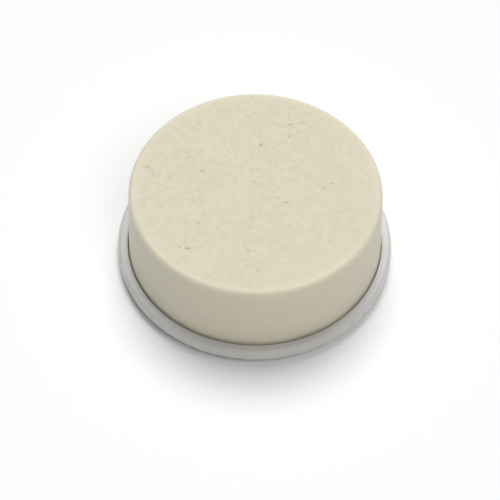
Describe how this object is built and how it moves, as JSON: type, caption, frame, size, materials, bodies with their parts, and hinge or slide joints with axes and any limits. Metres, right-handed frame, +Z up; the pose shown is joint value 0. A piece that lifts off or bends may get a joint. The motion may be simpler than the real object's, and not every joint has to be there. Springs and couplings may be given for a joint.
{
  "type": "shaving soap puck",
  "caption": "Round cake of hard shaving soap with drafted sides and a soft top edge, standing in the recess of a shallow round dish with a rolled rim; the cake lifts straight out.",
  "frame": {"origin": "centre of the dish's foot, on the surface that it stands on", "axes": "+Z straight up, along the axis that the puck and the dish were turned about; +Y towards one of the ribs on the dish's floor, away from a viewer at the front"},
  "size_m": [0.076, 0.076, 0.0286],
  "materials": {
    "soap": "matte",
    "dish_plastic": "satin"
  },
  "bodies": {
    "dish": {"dish": "dish_plastic"},
    "soap": {"soap_puck": "soap"}
  },
  "joints": [
    {"name": "soap_lift", "type": "slide", "parent": "dish", "child": "soap", "axis": [0, 0, 1], "range_m": [0, 0.02]}
  ]
}
